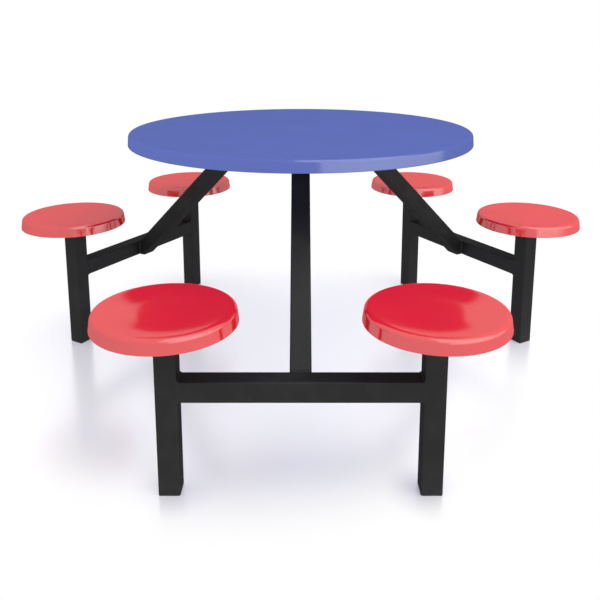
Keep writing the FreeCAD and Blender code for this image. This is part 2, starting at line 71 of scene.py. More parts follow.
shot = {
    "back": 2.1382,     # in front of the table's axis
    "height": 1.0607,
    "pitch": 10.91,     # degrees below level
    "sensor": 36,       # millimetres, as is the lens
    "lens": 41.405,
    "shift": (-0.0011, -0.2333),    # the picture is the lower part of a wider view
}
lens = bpy.data.cameras.new("photographer")
lens.sensor_width = shot["sensor"]
lens.lens = shot["lens"]
lens.shift_x, lens.shift_y = shot["shift"]
photographer = bpy.data.objects.new("photographer", lens)
photographer.location = (tableAxis[0], tableAxis[1] - shot["back"], shot["height"])
photographer.rotation_euler = (math.radians(90 - shot["pitch"]), 0, 0)
scene.collection.objects.link(photographer)
scene.camera = photographer
scene.view_settings.view_transform = "Standard"
print("camera: in place")


# Shader kit

class Wire:             # a socket that can stand in a sum
    def __init__(self, paint, socket):
        self.paint, self.socket = paint, socket

    def sum(self, operation, other, turned=False):
        first, second = (other, self) if turned else (self, other)
        return self.paint.node("Math", {"operation": operation}, {0: first, 1: second})

    def __add__(self, other):
        return self.sum("ADD", other)

    def __sub__(self, other):
        return self.sum("SUBTRACT", other)

    def __rsub__(self, other):
        return self.sum("SUBTRACT", other, True)

    def __mul__(self, other):
        return self.sum("MULTIPLY", other)

    def __truediv__(self, other):
        return self.sum("DIVIDE", other)

    def __rtruediv__(self, other):
        return self.sum("DIVIDE", other, True)

    def __lt__(self, other):
        return self.sum("LESS_THAN", other)

    def __or__(self, other):
        return self.sum("MAXIMUM", other)

    def __abs__(self):
        return self.sum("ABSOLUTE", 0.0)

    __radd__ = __add__
    __rmul__ = __mul__
    __ror__ = __or__


class Paint:            # fills the node tree of a material or the world
    def __init__(self, owner):
        owner.use_nodes = True
        self.owner, self.tree = owner, owner.node_tree
        self.tree.nodes.clear()

    def node(self, kind, settings, sockets, output=0):
        made = self.tree.nodes.new(f"ShaderNode{kind}")
        for name, setting in settings.items():
            setattr(made, name, setting)
        for name, given in sockets.items():
            if isinstance(given, Wire):
                self.tree.links.new(given.socket, made.inputs[name])
            else:
                made.inputs[name].default_value = given
        return Wire(self, made.outputs[output]) if made.outputs else made

    def spot(self):
        return self.node("TexCoord", {}, {}, "Object")

    def stretched(self, spot, factors):
        return self.node("VectorMath", {"operation": "MULTIPLY"}, {0: spot, 1: factors})

    def turned(self, spot, degrees):
        sockets = {"Vector": spot, "Angle": math.radians(degrees)}
        return self.node("VectorRotate", {"rotation_type": "Z_AXIS"}, sockets)

    def part(self, vector, axis):
        return self.node("SeparateXYZ", {}, {0: vector}, axis)

    def noise(self, spot, scale, detail, rough=0.5):
        sockets = {"Vector": spot, "Scale": scale, "Detail": detail, "Roughness": rough}
        return self.node("TexNoise", {}, sockets)

    def step(self, value, low, high, start=0.0, end=1.0):       # smooth step between low and high
        sockets = {"Value": value, "From Min": low, "From Max": high, "To Min": start, "To Max": end}
        return self.node("MapRange", {"interpolation_type": "SMOOTHSTEP"}, sockets)

    def patches(self, spot, low, high, **kind):     # noise cut to patches with soft edges
        return self.step(self.noise(spot, **kind), low, high)

    def away(self, spot, place, near, far):         # 0 within near of a place on the floor, 1 beyond far
        sockets = {0: spot, 1: (*place, 0)}
        return self.step(self.node("VectorMath", {"operation": "DISTANCE"}, sockets, "Value"), near, far)

    def tint(self, share, first, second):
        return self.node("Mix", {"data_type": "RGBA"}, {0: share, 6: first, 7: second}, 2)

    def relief(self, height, depth):
        return self.node("Bump", {}, {"Height": height, "Distance": depth})

    def surface(self, **sockets):
        named = {name.replace("_", " "): given for name, given in sockets.items()}
        return self.node("BsdfPrincipled", {}, named)

    def mixed(self, share, first, second):
        return self.node("MixShader", {}, {0: share, 1: first, 2: second})

    def show(self, shader):
        kind = "OutputWorld" if isinstance(self.owner, bpy.types.World) else "OutputMaterial"
        self.node(kind, {}, {"Surface": shader})
        return self.owner


def newPaint(name):
    return Paint(bpy.data.materials.new(name))


def rgb(red, green, blue):
    return (red, green, blue, 1.0)


white = rgb(1, 1, 1)

# Gel coat: coloured glossy resin, waxed and wiped, that mirrors an even share of the room at any angle

topLook = {
    "colour": rgb(0.0130, 0.0568, 0.386),
    "shade": rgb(0.0118, 0.0514, 0.360),    # in the pigment's darker clouds
    "mirror": 0.111,
    "clean": 0.13,                          # roughness where wiped clean
    "smeared": 0.22,
}
seatLook = {
    "colour": rgb(0.80, 0.0134, 0.0208),
    "shade": rgb(0.76, 0.0121, 0.0187),
    "mirror": 0.121,
    "clean": 0.12,
    "smeared": 0.17,
}
gel = {
    "index": 1.5,                           # of refraction
    "clouds": {"scale": 7, "detail": 3, "low": 0.38, "high": 0.66},
    "grains": {"scale": 1100, "detail": 1, "low": 0.6, "high": 0.72},
    "cloudShade": 0.7,
    "grainShade": 0.3,
    "smears": {"scale": 11, "detail": 4, "rough": 0.6, "low": 0.48, "high": 0.74},
    "smearStretch": (1, 1.7, 1),
    "smearDull": 0.8,
    "scratches": {"scale": 1, "detail": 1, "low": 0.7, "high": 0.76},
    "scratchStretch": (900, 9, 60),
    "scratchTurn": 34,                      # degrees
    "scratchDull": 0.35,
    "peel": {"scale": 230, "detail": 1},
    "peelDepth": 1.6e-5,
    "matt": 0.5,                            # roughness of the resin that doesn't mirror
}


def gelcoat(name, look):
    paint = newPaint(name)
    spot = paint.spot()
    clouds = paint.patches(spot, **gel["clouds"])
    grains = paint.patches(spot, **gel["grains"])
    shaded = clouds * gel["cloudShade"] + grains * gel["grainShade"]
    colour = paint.tint(shaded, look["colour"], look["shade"])
    smears = paint.patches(paint.stretched(spot, gel["smearStretch"]), **gel["smears"])
    across = paint.stretched(paint.turned(spot, gel["scratchTurn"]), gel["scratchStretch"])
    scratches = paint.patches(across, **gel["scratches"])
    worn = smears * gel["smearDull"] + scratches * gel["scratchDull"]
    gloss = paint.step(worn, 0.0, 1.0, look["clean"], look["smeared"])
    peel = paint.relief(paint.noise(spot, **gel["peel"]), gel["peelDepth"])
    body = paint.surface(Base_Color=colour, Roughness=gloss, IOR=gel["index"], Normal=peel)
    dull = paint.surface(Base_Color=colour, Roughness=gel["matt"], Specular_IOR_Level=0.0, Normal=peel)
    wax = paint.surface(Base_Color=white, Metallic=1.0, Roughness=gloss, Normal=peel)
    even, glint = look["mirror"], paint.node("Fresnel", {}, {"IOR": gel["index"], "Normal": peel})
    rest = paint.mixed(glint < even, dull, wax)     # wax where the body mirrors too little, else dull
    return paint.show(paint.mixed((even - glint) / (1 - glint) | 1 - even / glint, body, rest))


# Back of the moulding: chopped glass strands under a brushed coat of the same resin

backLook = {
    "strands": {"scale": 420, "detail": 1},
    "strandStretch": (1, 0.06, 1),
    "strandTurns": (12, 71, 133),           # degrees, one for each layer
    "strandEdge": (0.52, 0.74),
    "strandShade": 0.55,
    "strandHeight": 0.6,                    # beside the brush marks' 1
    "brush": {"scale": 34, "detail": 3, "rough": 0.6},
    "brushEdge": (0.3, 0.7),
    "brushShade": 0.3,
    "depth": 0.00035,
    "roughness": (0.42, 0.67),
    "specular": 0.3,
}


def laminate(name, look):
    paint = newPaint(name)
    spot = paint.spot()
    turned = [paint.turned(spot, degrees) for degrees in backLook["strandTurns"]]
    long = [paint.stretched(layer, backLook["strandStretch"]) for layer in turned]
    first, second, third = (paint.noise(layer, **backLook["strands"]) for layer in long)
    strands = paint.step(first | second | third, *backLook["strandEdge"])
    brushed = paint.noise(spot, **backLook["brush"])
    lit = strands * backLook["strandShade"] + brushed * backLook["brushShade"]
    colour = paint.tint(lit, look["shade"], look["colour"])
    relief = paint.relief(strands * backLook["strandHeight"] + brushed, backLook["depth"])
    wet = paint.step(brushed, *backLook["brushEdge"], *backLook["roughness"])
    return paint.show(paint.surface(Base_Color=colour, Roughness=wet, Normal=relief,
                                    Specular_IOR_Level=backLook["specular"]))


# Powder coat: fine even grain over a slow orange peel, dulled by dust near the floor

coatLook = {
    "colour": rgb(0.0160, 0.0160, 0.0168),
    "worn": rgb(0.0215, 0.0210, 0.0220),
    "dust": rgb(0.060, 0.057, 0.052),
    "mirror": 0.016,
    "wear": {"scale": 13, "detail": 4, "rough": 0.6, "low": 0.4, "high": 0.7},
    "wearDull": 0.7,
    "specks": {"scale": 60, "detail": 4, "rough": 0.7, "low": 0.45, "high": 0.8},
    "dustTop": 0.05,
    "dustShade": 0.35,
    "dustDull": 0.6,
    "grain": {"scale": 1500, "detail": 2},
    "grainDepth": 4.5e-5,
    "wave": {"scale": 260, "detail": 1},
    "waveDepth": 5.0e-5,
    "matt": 0.6,                            # roughness of the body
    "roughness": (0.42, 0.6),               # of what it mirrors, fresh and worn
}


def powderCoat(name):
    paint = newPaint(name)
    spot = paint.spot()
    wear = paint.patches(spot, **coatLook["wear"])
    grain = paint.noise(spot, **coatLook["grain"])
    wave = paint.noise(spot, **coatLook["wave"])
    low = paint.step(paint.part(spot, "Z"), coatLook["dustTop"], 0.0)
    dust = low * paint.patches(spot, **coatLook["specks"])
    colour = paint.tint(wear, coatLook["colour"], coatLook["worn"])
    colour = paint.tint(dust * coatLook["dustShade"], colour, coatLook["dust"])
    dulled = wear * coatLook["wearDull"] + dust * coatLook["dustDull"]
    dull = paint.step(dulled, 0.0, 1.0, *coatLook["roughness"])
    ratio = coatLook["grainDepth"] / coatLook["waveDepth"]
    relief = paint.relief(grain * ratio + wave, coatLook["waveDepth"])
    body = paint.surface(Base_Color=colour, Roughness=coatLook["matt"], Specular_IOR_Level=0.0, Normal=relief)
    face = paint.surface(Base_Color=white, Metallic=1.0, Roughness=dull, Normal=relief)
    return paint.show(paint.mixed(coatLook["mirror"], body, face))


# Plywood sealed with black stain: long grain on the faces, plies on the edges

plyLook = {
    "early": rgb(0.034, 0.031, 0.028),
    "late": rgb(0.017, 0.015, 0.014),
    "cross": rgb(0.021, 0.018, 0.016),
    "wander": {"scale": 3, "detail": 3},
    "wanderStretch": (0.9, 5, 5),
    "rings": {"Scale": 9.0, "Distortion": 9.0, "Detail": 3.0},
    "ringStretch": (0.25, 1, 1),
    "fibres": {"scale": 1, "detail": 2},
    "fibreStretch": (14, 700, 700),
    "faceShares": (0.6, 0.3, 0.25),         # of rings, wander and fibres
    "faceEdge": (0.3, 0.85),
    "ply": 0.0018,
    "plyEdge": (0.44, 0.56),
    "sideShares": (0.8, 0.2),               # of plies and fibres
    "sideEdge": (0.4, 0.6),                 # a face is a side where its normal is less upright than this
    "heights": (0.6, 0.4),                  # of fibres and rings
    "depth": 0.00012,
    "fibreEdge": (0.3, 0.7),
    "roughness": (0.45, 0.62),
    "specular": 0.2,
}


def shared(shares, *wires):
    return sum(wire * share for share, wire in zip(shares, wires))


def plywood(name):
    paint = newPaint(name)
    spot = paint.spot()
    wander = paint.noise(paint.stretched(spot, plyLook["wanderStretch"]), **plyLook["wander"])
    bands = {"wave_type": "BANDS", "bands_direction": "Y"}
    long = paint.stretched(spot, plyLook["ringStretch"])
    rings = paint.node("TexWave", bands, {"Vector": long, **plyLook["rings"]})
    fibres = paint.noise(paint.stretched(spot, plyLook["fibreStretch"]), **plyLook["fibres"])
    grain = paint.step(shared(plyLook["faceShares"], rings, wander, fibres), *plyLook["faceEdge"])
    face = paint.tint(grain, plyLook["early"], plyLook["late"])
    within = paint.node("Math", {"operation": "PINGPONG"}, {0: paint.part(spot, "Z"), 1: plyLook["ply"]})
    plies = paint.step(within * (1 / plyLook["ply"]), *plyLook["plyEdge"])
    edge = paint.tint(shared(plyLook["sideShares"], plies, fibres), plyLook["early"], plyLook["cross"])
    upright = paint.part(paint.node("NewGeometry", {}, {}, "Normal"), "Z")
    side = paint.step(abs(upright), *plyLook["sideEdge"], 1.0, 0.0)
    relief = paint.relief(shared(plyLook["heights"], fibres, rings), plyLook["depth"])
    rough = paint.step(fibres, *plyLook["fibreEdge"], *plyLook["roughness"])
    return paint.show(paint.surface(Base_Color=paint.tint(side, face, edge), Roughness=rough, Normal=relief,
                                    Specular_IOR_Level=plyLook["specular"]))


# Small parts: turned nylon with grease, moulded feet with scuffs, zinc with spangle and bloom

nylonLook = {
    "colour": rgb(0.70, 0.68, 0.61),
    "greased": rgb(0.46, 0.42, 0.33),
    "grease": {"scale": 90, "detail": 4, "rough": 0.65, "low": 0.5, "high": 0.75},
    "lines": {"scale": 1, "detail": 1},
    "lineStretch": (40, 40, 2600),
    "depth": 3e-5,
    "roughness": (0.5, 0.28),
}
footLook = {
    "colour": rgb(0.013, 0.013, 0.014),
    "scuffed": rgb(0.05, 0.049, 0.046),
    "scuffs": {"scale": 1, "detail": 3, "rough": 0.7, "low": 0.52, "high": 0.72},
    "scuffStretch": (300, 60, 500),
    "scuffTop": 0.004,
    "scuffShades": (0.6, 0.25),             # more of it low down, and what is everywhere
    "grain": {"scale": 1800, "detail": 2},
    "depth": 5e-5,
    "roughness": (0.48, 0.7),
    "specular": 0.3,
}
zincLook = {
    "colour": rgb(0.58, 0.59, 0.61),
    "spangle": rgb(0.44, 0.45, 0.48),
    "dull": rgb(0.36, 0.36, 0.35),
    "cellScale": 420.0,
    "cellEdge": (0.2, 0.9),
    "bloom": {"scale": 120, "detail": 4, "rough": 0.7, "low": 0.52, "high": 0.78},
    "bloomShade": 0.7,
    "dulling": (0.6, 0.25),                 # by bloom and by spangle
    "grain": {"scale": 900, "detail": 2},
    "depth": 2e-5,
    "roughness": (0.28, 0.52),
}


def nylon(name):
    paint = newPaint(name)
    spot = paint.spot()
    grease = paint.patches(spot, **nylonLook["grease"])
    lines = paint.noise(paint.stretched(spot, nylonLook["lineStretch"]), **nylonLook["lines"])
    colour = paint.tint(grease, nylonLook["colour"], nylonLook["greased"])
    rough = paint.step(grease, 0.0, 1.0, *nylonLook["roughness"])
    relief = paint.relief(lines, nylonLook["depth"])
    return paint.show(paint.surface(Base_Color=colour, Roughness=rough, Normal=relief))


def footPlastic(name):
    paint = newPaint(name)
    spot = paint.spot()
    scuffs = paint.patches(paint.stretched(spot, footLook["scuffStretch"]), **footLook["scuffs"])
    low = paint.step(paint.part(spot, "Z"), footLook["scuffTop"], 0.0)
    more, everywhere = footLook["scuffShades"]
    colour = paint.tint(scuffs * (low * more + everywhere), footLook["colour"], footLook["scuffed"])
    rough = paint.step(scuffs, 0.0, 1.0, *footLook["roughness"])
    relief = paint.relief(paint.noise(spot, **footLook["grain"]), footLook["depth"])
    return paint.show(paint.surface(Base_Color=colour, Roughness=rough, Normal=relief,
                                    Specular_IOR_Level=footLook["specular"]))


def zinc(name):
    paint = newPaint(name)
    spot = paint.spot()
    cells = paint.node("TexVoronoi", {}, {"Vector": spot, "Scale": zincLook["cellScale"]}, "Color")
    spangle = paint.step(paint.part(cells, "X"), *zincLook["cellEdge"])
    bloom = paint.patches(spot, **zincLook["bloom"])
    bright = paint.tint(spangle, zincLook["colour"], zincLook["spangle"])
    colour = paint.tint(bloom * zincLook["bloomShade"], bright, zincLook["dull"])
    dull = paint.step(shared(zincLook["dulling"], bloom, spangle), 0.0, 1.0, *zincLook["roughness"])
    relief = paint.relief(paint.noise(spot, **zincLook["grain"]), zincLook["depth"])
    return paint.show(paint.surface(Base_Color=colour, Metallic=1.0, Roughness=dull, Normal=relief))


finishes = {
    "top_gelcoat": gelcoat("blueGelcoat", topLook),
    "seat_gelcoat": gelcoat("redGelcoat", seatLook),
    "frame_paint": powderCoat("blackPowderCoat"),
    "plywood": plywood("stainedPlywood"),
    "bush_nylon": nylon("bushNylon"),
    "foot_plastic": footPlastic("footPolythene"),
    "zinc_steel": zinc("zincSteel"),
}
topBack = laminate("blueLaminate", topLook)
seatBack = laminate("redLaminate", seatLook)
laidOver = {"table_top_core": topBack}      # boards that the moulding's laminate covers
for name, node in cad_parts.items():
    for place in node.material_slots:
        place.material = laidOver.get(name, finishes[place.material.name])
print("finishes:", len(finishes) + 2, "materials")


# Mesh kit

sharpFrom = 40          # degrees between faces
guard = 0.0003          # from an arc's end to the row that keeps the straight run beside it flat


def gridFaces(rows, columns, closedRows=False):
    # quads between neighbouring rows, closed round the columns
    i = np.arange(rows if closedRows else rows - 1)[:, None]
    j = np.arange(columns)[None, :]
    below, beside = (i + 1) % rows, (j + 1) % columns
    corners = (i * columns + j, below * columns + j, below * columns + beside, i * columns + beside)
    return np.stack(np.broadcast_arrays(*corners), -1).reshape(-1, 4)


def makePiece(name, points, faces, materials, faceMaterial, body, recalculate=False):
    mesh = bpy.data.meshes.new(name)
    mesh.from_pydata(points.tolist(), [], faces)
    for material in materials:
        mesh.materials.append(material)
    mesh.polygons.foreach_set("material_index", np.asarray(faceMaterial, dtype=np.int32))
    if recalculate:
        work = bmesh.new()
        work.from_mesh(mesh)
        bmesh.ops.recalc_face_normals(work, faces=work.faces)
        work.to_mesh(mesh)
        work.free()
    mesh.shade_smooth()
    mesh.set_sharp_from_angle(angle=math.radians(sharpFrom))
    mesh.update()
    piece = bpy.data.objects.new(name, mesh)
    scene.collection.objects.link(piece)
    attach(piece, body)
    return piece


def roundedLine(corners, steps=10):
    # straight runs joined by arcs: a corner (r, z, radius) becomes the arc that touches both its runs,
    # place = centre + (first sin((1 - t) sweep) + last sin(t sweep)) / sin sweep, with t from 0 to 1
    places = np.array([corner[:2] for corner in corners])
    line, end = [places[:1]], places[0]
    for before, here, after, (_, _, radius) in zip(places, places[1:], places[2:], corners[1:]):
        back, ahead = before - here, after - here
        back, ahead = back / np.linalg.norm(back), ahead / np.linalg.norm(ahead)
        opening = math.acos(np.clip(back @ ahead, -1, 1))
        sweep = math.pi - opening
        centre = here + (back + ahead) / np.linalg.norm(back + ahead) * radius / math.sin(opening / 2)
        start, finish = (here + way * radius / math.tan(opening / 2) for way in (back, ahead))
        if np.linalg.norm(start - end) > 3 * guard:
            line.append([end - back * guard, start + back * guard])
        first, last = start - centre, finish - centre
        t = np.linspace(0, 1, steps)[:, None]
        line.append(centre + (np.sin((1 - t) * sweep) * first + np.sin(t * sweep) * last) / math.sin(sweep))
        end = finish
    return np.concatenate([*line, [end + ahead * guard], places[-1:]])


def turnedRings(profile, axis, turns):
    # x = axis x + r cos t, y = axis y + r sin t, z = height, with t once round the axis
    t = np.linspace(0, 2 * np.pi, turns, endpoint=False)
    r, z = profile[:, :1], profile[:, 1:]
    rings = np.broadcast_arrays(axis[0] + r * np.cos(t), axis[1] + r * np.sin(t), z)
    return np.stack(rings, -1).reshape(-1, 3)


def closedTurning(name, profile, split, axis, turns, materials, body):
    # a profile from the upper pole round to the lower pole; rows after the split take the second material
    rings = turnedRings(profile[1:-1], axis, turns)
    rows = len(profile) - 2
    poles = np.array([[*axis, profile[0, 1]], [*axis, profile[-1, 1]]])
    quads = gridFaces(rows, turns)
    j = np.arange(turns)
    beside = (j + 1) % turns
    last = (rows - 1) * turns
    upper = np.stack([np.full(turns, len(rings)), j, beside], -1)
    lower = np.stack([np.full(turns, len(rings) + 1), last + beside, last + j], -1)
    faces = [*quads.tolist(), *upper.tolist(), *lower.tolist()]
    second = np.repeat(np.arange(rows - 1) >= split - 1, turns)
    share = np.concatenate([second, np.zeros(turns), np.ones(turns)])
    return makePiece(name, np.concatenate([rings, poles]), faces, materials, share, body)


def ringTurning(name, profile, axis, turns, material, body):
    # a closed profile turned to a ring
    points = turnedRings(profile, axis, turns)
    faces = gridFaces(len(profile), turns, closedRows=True).tolist()
    return makePiece(name, points, faces, [material], np.zeros(len(faces)), body, recalculate=True)


# Moulded skins of the top and the seats: flat or dished face, round edge, flared rim, soft lip

topForm = {
    "radius": 0.527,
    "edge": 0.009,
    "draft": 4,             # degrees that the rim flares by
    "skin": 0.004,
    "lip": 0.0012,
    "deeper": 0.0025,       # than the CAD rim, as in the photograph
    "turns": 288,
}
seatForm = {
    "radius": 0.165,
    "edge": 0.0105,
    "draft": 8,
    "skin": 0.0035,
    "lip": 0.001,
    "deeper": 0.0,
    "turns": 224,
    "dish": 0.0055,         # depth
    "rise": 0.0765,         # how far the dish's side reaches in from the crest
    "brow": 0.020,
    "crest": 0.0018,
    "steps": 16,            # points on each arc
}
heightFirst = 1000          # makes a point's height count before its radius


def skinProfile(form, top, bottom):
    # outer face from the axis to the lip, then the inner face a skin's thickness within it
    slope = math.tan(math.radians(form["draft"]))
    wall = form["skin"] / math.cos(math.radians(form["draft"]))
    brow = form["radius"] - (top - bottom) * slope
    inBrow = form["radius"] - wall - (top - bottom - form["skin"]) * slope
    ceiling = top - form["skin"]
    rim = [
        (brow, top, form["edge"]), (form["radius"], bottom, form["lip"]),
        (form["radius"] - wall, bottom, form["lip"]), (inBrow, ceiling, form["edge"] - form["skin"]),
    ]
    if "dish" not in form:
        return roundedLine([(0, top), *rim, (0, ceiling)])
    # the dish's side is a wide hollow arc that runs into a tight round one at the narrow flat crest:
    # rise^2 + dish^2 = 2 dish (hollow + brow), and each arc turns through asin(rise / (hollow + brow))
    crest = brow - form["edge"] * math.tan(math.radians(90 - form["draft"]) / 2) - form["crest"]
    both = (form["rise"] ** 2 + form["dish"] ** 2) / (2 * form["dish"])
    lean = math.tan(math.asin(form["rise"] / both) / 2)
    floor, hollow = crest - form["rise"], both - form["brow"]
    wide, tight = hollow + form["skin"], form["brow"] - form["skin"]
    deep, inDeep = top - form["dish"], top - form["dish"] - form["skin"]
    return roundedLine([
        (0, deep), (floor + hollow * lean, deep, hollow), (crest - form["brow"] * lean, top, form["brow"]),
        *rim,
        (crest - tight * lean, ceiling, tight), (floor + wide * lean, inDeep, wide), (0, inDeep),
    ], form["steps"])


def lipRow(profile):        # last of the lowest points, on the inner side
    return int(np.argmin(profile[:, 1] * heightFirst + profile[:, 0]))


def mouldedSkin(name, shell, form, axis, materials, body):
    low, high = lowHigh(shell)
    profile = skinProfile(form, high[2], low[2] - form["deeper"])
    skin = closedTurning(name, profile, lipRow(profile), axis, form["turns"], materials, body)
    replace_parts(skin, shell)
    return profile


topProfile = mouldedSkin("tableTopSkin", "table_top_shell", topForm, tableAxis,
                         [finishes["top_gelcoat"], topBack], "frame")
for name in seatNames:
    seatProfile = mouldedSkin(f"{name}_seatSkin", f"{name}_seat_shell", seatForm, postSpot[name],
                              [finishes["seat_gelcoat"], seatBack], f"{name}_seat")
print("skins: table top and", len(seatNames), "seats,", len(topProfile), "and", len(seatProfile), "points")


# Resin coves that bond the boards into the mouldings

cove = {
    "lap": 0.0006,          # into the board and the moulding
    "points": 14,
    "turns": 160,
    "rimInset": 0.0012,     # of the top's wall at the cove, by its draft
    "topShort": 0.003,      # of the board's lower edge and of the ceiling
    "seatShort": 0.002,
    "seatReach": 0.012,
}


def covePoints(start, end, back):
    # a hollow quarter round from start to end, closed over the corner point behind it:
    # place = far + (start - far) cos t + (end - far) sin t, with far across from the corner
    t = np.linspace(0, np.pi / 2, cove["points"])[:, None]
    start, end, back = (np.array(place) for place in (start, end, back))
    far = start + end - back
    return np.concatenate([far + (start - far) * np.cos(t) + (end - far) * np.sin(t), [back]])


def boardEdge(node):        # radius just within the edge, underside and top
    low, high = lowHigh(node)
    return (high[0] - low[0]) / 2 - cove["lap"], low[2], high[2]


coreRadius, coreUnder, coreTop = boardEdge("table_top_core")
rimInside = topForm["radius"] - topForm["skin"] - cove["rimInset"]
ceiling = coreTop + cove["lap"]
section = covePoints((coreRadius, coreUnder + cove["topShort"]), (rimInside, ceiling - cove["topShort"]),
                     (coreRadius, ceiling))
ringTurning("tableTopCove", section, tableAxis, topForm["turns"], topBack, "frame")
under = seatProfile[lipRow(seatProfile):][::-1]     # the shell's underside, from the axis outwards
for name in seatNames:
    boardRadius, boardUnder, _ = boardEdge(f"{name}_seat_board")
    reach = boardRadius + cove["seatReach"]
    near, far = np.interp([boardRadius, reach], under[:, 0], under[:, 1]) + cove["lap"]
    section = covePoints((boardRadius, boardUnder + cove["seatShort"]), (reach, far), (boardRadius, near))
    ringTurning(f"{name}_seatCove", section, postSpot[name], cove["turns"], seatBack,
                f"{name}_seat")
print("coves:", 1 + len(seatNames))


# Struts, and the weld beads of the frame, coated with it

weld = {
    "leg": 0.0032,          # of a corner weld
    "fullness": 1.5,        # 1 is flat, 2 a quarter round
    "seamHalf": 0.0062,     # half the width of a flush seam
    "seamCrown": 0.0005,
    "root": 0.0022,         # how far a bead sits in the metal
    "rootShare": 0.5,       # width of a seam's root, of its own
    "pitch": 0.0023,        # of the ripples
    "ripple": 0.045,
    "chevron": 1.4,         # how far a ripple bows, in radians
    "tip": 0.05,            # size at a bead's end
    "step": 0.00055,        # along the path
    "points": 11,           # across the bead
}
tube = {"corner": 0.004, "cornerPoints": 12}


def straightPath(start, end):
    start, end = np.array(start), np.array(end)
    count = int(np.linalg.norm(end - start) / weld["step"])
    return start + (end - start) * np.linspace(0, 1, count)[:, None]


def roundedLoop(halfX, halfY, cornerX, cornerY):
    # rounded rectangle: place = corner's centre + (cornerX cos t, cornerY sin t), walked at even steps;
    # returns places and outward normals
    turn = np.linspace(0, np.pi / 2, tube["cornerPoints"])
    angle = np.concatenate([turn + quarter * np.pi / 2 for quarter in range(4)])
    normal = np.stack([np.cos(angle), np.sin(angle)], -1)
    centre = np.repeat([[1, 1], [-1, 1], [-1, -1], [1, -1]], tube["cornerPoints"], axis=0)
    place = centre * [halfX - cornerX, halfY - cornerY] + normal * [cornerX, cornerY]
    place, normal = (np.concatenate([rows, rows[:1]]) for rows in (place, normal))
    walked = np.concatenate([[0], np.cumsum(np.linalg.norm(np.diff(place, axis=0), axis=1))])
    even = np.linspace(0, walked[-1], int(walked[-1] / weld["step"]), endpoint=False)
    place, normal = (
        np.stack([np.interp(even, walked, rows[:, k]) for k in (0, 1)], -1) for rows in (place, normal)
    )
    return place, normal / np.linalg.norm(normal, axis=1, keepdims=True)


def bead(path, sideA, sideB, corner=1.0, closed=False):
    # a bead's section carried along the path: place = path + a * sideA + b * sideB. A corner weld's section
    # is a = leg cos^k t, b = leg sin^k t, a flush seam's a = half cos 2t, b = crown sin 2t, and corner blends
    # the two. Both swell by a ripple, sin of the distance along the path, bowed like a weaver's chevron.
    count = len(path)
    s = np.arange(count)[:, None] * weld["step"]
    t = np.linspace(0, np.pi / 2, weld["points"])[None, :]
    power = 2 / weld["fullness"]
    share = np.broadcast_to(np.asarray(corner, float), (count,))[:, None]
    a = share * weld["leg"] * np.cos(t) ** power + (1 - share) * weld["seamHalf"] * np.cos(2 * t)
    b = share * weld["leg"] * np.sin(t) ** power + (1 - share) * weld["seamCrown"] * np.sin(2 * t)
    bow = weld["chevron"] * np.sin(2 * t)
    swell = 1 + weld["ripple"] * np.sin(2 * t) * np.sin(2 * np.pi * s / weld["pitch"] + bow)
    fromEnd = np.minimum(s, s[::-1]) / weld["leg"]
    ends = np.ones_like(s) if closed else np.sqrt(np.clip(fromEnd, weld["tip"], 1))
    a, b = a * (share * swell + 1 - share) * ends, b * swell * ends
    depth = np.full((count, 1), -weld["root"])
    rootHalf = (1 - share) * weld["rootShare"] * weld["seamHalf"]
    a = np.concatenate([a, share * depth - rootHalf, rootHalf], 1)
    b = np.concatenate([b, depth, depth], 1)
    sideA, sideB = (np.broadcast_to(side, path.shape)[:, None] for side in (sideA, sideB))
    points = path[:, None] + a[..., None] * sideA + b[..., None] * sideB
    columns = points.shape[1]
    faces = gridFaces(count, columns, closed).tolist()
    if not closed:
        faces += [list(range(columns)), list(range((count - 1) * columns, count * columns))]
    return points.reshape(-1, 3), faces


def level(places, height):
    return np.column_stack([places, np.full(len(places), height)])


def strutTube(half, lean, railLow, railHigh, plateLow):
    # a rounded square, x across and d out from the middle, carried along s up the lean:
    # y = half - (d - half) sin lean + s cos lean, z = rail top + (d - half) cos lean + s sin lean.
    # Each line of it starts on the rail's face, y = half, or level with the rail's underside,
    # and ends at the plate.
    x, d = roundedLoop(half, half, tube["corner"], tube["corner"])[0].T
    down = d - half
    onFace = down * math.tan(lean)
    onLevel, onPlate = (
        (z - railHigh - down * math.cos(lean)) / math.sin(lean) for z in (railLow, plateLow)
    )
    s = np.stack([np.maximum(onFace, onLevel), onPlate])
    y = half - down * math.sin(lean) + s * math.cos(lean)
    z = railHigh + down * math.cos(lean) + s * math.sin(lean)
    count = len(x)
    heel = np.flatnonzero(onLevel > onFace)
    onRail = [*range(heel[-1], count), *range(heel[0] + 1)]
    ends = [range(heel[0], heel[-1] + 1), onRail, range(count, 2 * count)]
    faces = gridFaces(2, count).tolist() + [[int(corner) for corner in end] for end in ends]
    return np.stack([np.broadcast_to(x, s.shape), y, z], -1).reshape(-1, 3), faces


